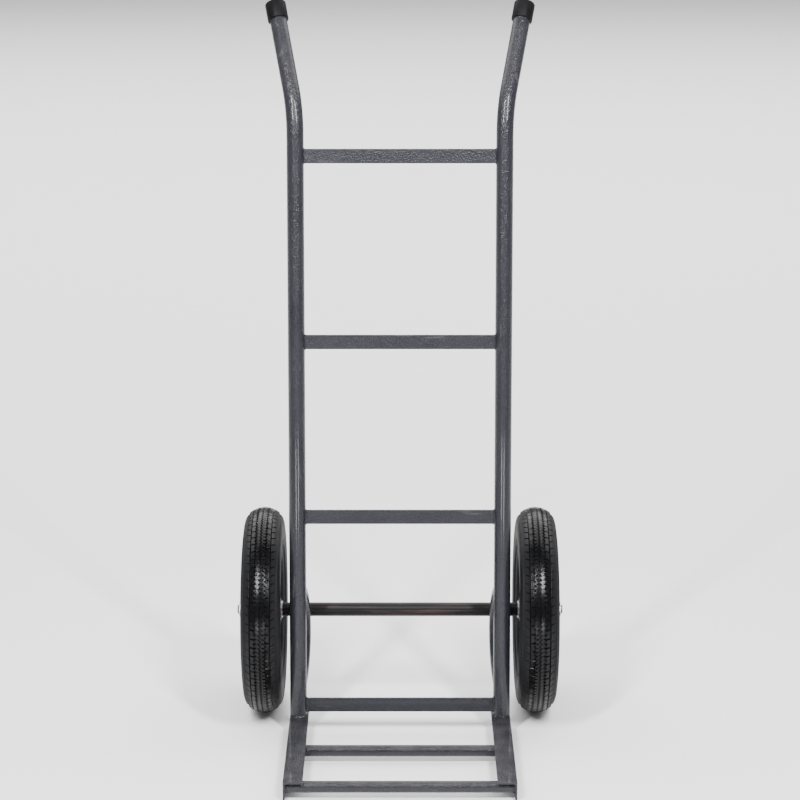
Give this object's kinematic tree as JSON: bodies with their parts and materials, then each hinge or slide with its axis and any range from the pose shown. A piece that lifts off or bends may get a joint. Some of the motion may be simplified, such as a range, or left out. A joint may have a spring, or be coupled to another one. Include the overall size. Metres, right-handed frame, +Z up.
{
  "type": "hand truck",
  "caption": "Upright two-wheeled hand truck with a welded tube frame, flat crossbars, an open toe of angle rails and round bars, bent axle brackets and pneumatic wheels.",
  "frame": {"origin": "on the floor, under the middle of the whole object: midway between the wheels, and midway between the front of the toe rails and the back of the tyres", "axes": "+Z up, +X to the right across the frame and along the axle, and the toe points along -Y"},
  "size_m": [0.565, 0.5927, 1.2246],
  "materials": {
    "frame_paint": "dark grey hammered enamel, half gloss",
    "axle_paint": "dark grey enamel with a little rubbed wear",
    "rim_paint": "light grey enamel, half gloss",
    "hub_paint": "light grey enamel, half gloss",
    "zinc_plate": "dull zinc plate",
    "axle_steel": "drawn steel",
    "bearing_steel": "ground bearing steel",
    "tyre": "black moulded tyre rubber with block tread",
    "inner_tube": "plain black butyl rubber",
    "handle_cap": "matt black rubber",
    "valve_rubber": "black rubber",
    "valve_cap": "black plastic"
  },
  "bodies": {
    "frame": {"axle_rod": "axle_steel", "axle_tube": "axle_paint", "foot_crossbar": "frame_paint", "left_axle_bracket": "frame_paint", "left_axle_nut": "zinc_plate", "left_bearing_spacer": "axle_steel", "left_handle_cap": "handle_cap", "left_inboard_inner_race": "bearing_steel", "left_inboard_washer": "zinc_plate", "left_outboard_inner_race": "bearing_steel", "left_outboard_washer": "zinc_plate", "left_side_tube": "frame_paint", "left_toe_rail": "frame_paint", "lower_crossbar": "frame_paint", "right_axle_bracket": "frame_paint", "right_axle_nut": "zinc_plate", "right_bearing_spacer": "axle_steel", "right_handle_cap": "handle_cap", "right_inboard_inner_race": "bearing_steel", "right_inboard_washer": "zinc_plate", "right_outboard_inner_race": "bearing_steel", "right_outboard_washer": "zinc_plate", "right_side_tube": "frame_paint", "right_toe_rail": "frame_paint", "toe_front_bar": "frame_paint", "toe_middle_bar": "frame_paint", "top_crossbar": "frame_paint", "upper_crossbar": "frame_paint"},
    "left_wheel": {"left_bearing_shields": "bearing_steel", "left_hub": "hub_paint", "left_inboard_bearing_balls": "bearing_steel", "left_inboard_outer_race": "bearing_steel", "left_inboard_rim": "rim_paint", "left_inner_tube": "inner_tube", "left_outboard_bearing_balls": "bearing_steel", "left_outboard_outer_race": "bearing_steel", "left_outboard_rim": "rim_paint", "left_rim_bolts": "zinc_plate", "left_rim_nuts": "zinc_plate", "left_rim_washers": "zinc_plate", "left_tyre": "tyre", "left_valve_cap": "valve_cap", "left_valve_stem": "valve_rubber"},
    "right_wheel": {"right_bearing_shields": "bearing_steel", "right_hub": "hub_paint", "right_inboard_bearing_balls": "bearing_steel", "right_inboard_outer_race": "bearing_steel", "right_inboard_rim": "rim_paint", "right_inner_tube": "inner_tube", "right_outboard_bearing_balls": "bearing_steel", "right_outboard_outer_race": "bearing_steel", "right_outboard_rim": "rim_paint", "right_rim_bolts": "zinc_plate", "right_rim_nuts": "zinc_plate", "right_rim_washers": "zinc_plate", "right_tyre": "tyre", "right_valve_cap": "valve_cap", "right_valve_stem": "valve_rubber"}
  },
  "joints": [
    {"name": "left_wheel_spin", "type": "hinge", "parent": "frame", "child": "left_wheel", "pos_m": [-0.2355, 0.11815, 0.1782], "axis": [1, 0, 0], "continuous": true},
    {"name": "right_wheel_spin", "type": "hinge", "parent": "frame", "child": "right_wheel", "pos_m": [0.2355, 0.11815, 0.1782], "axis": [1, 0, 0], "continuous": true}
  ]
}
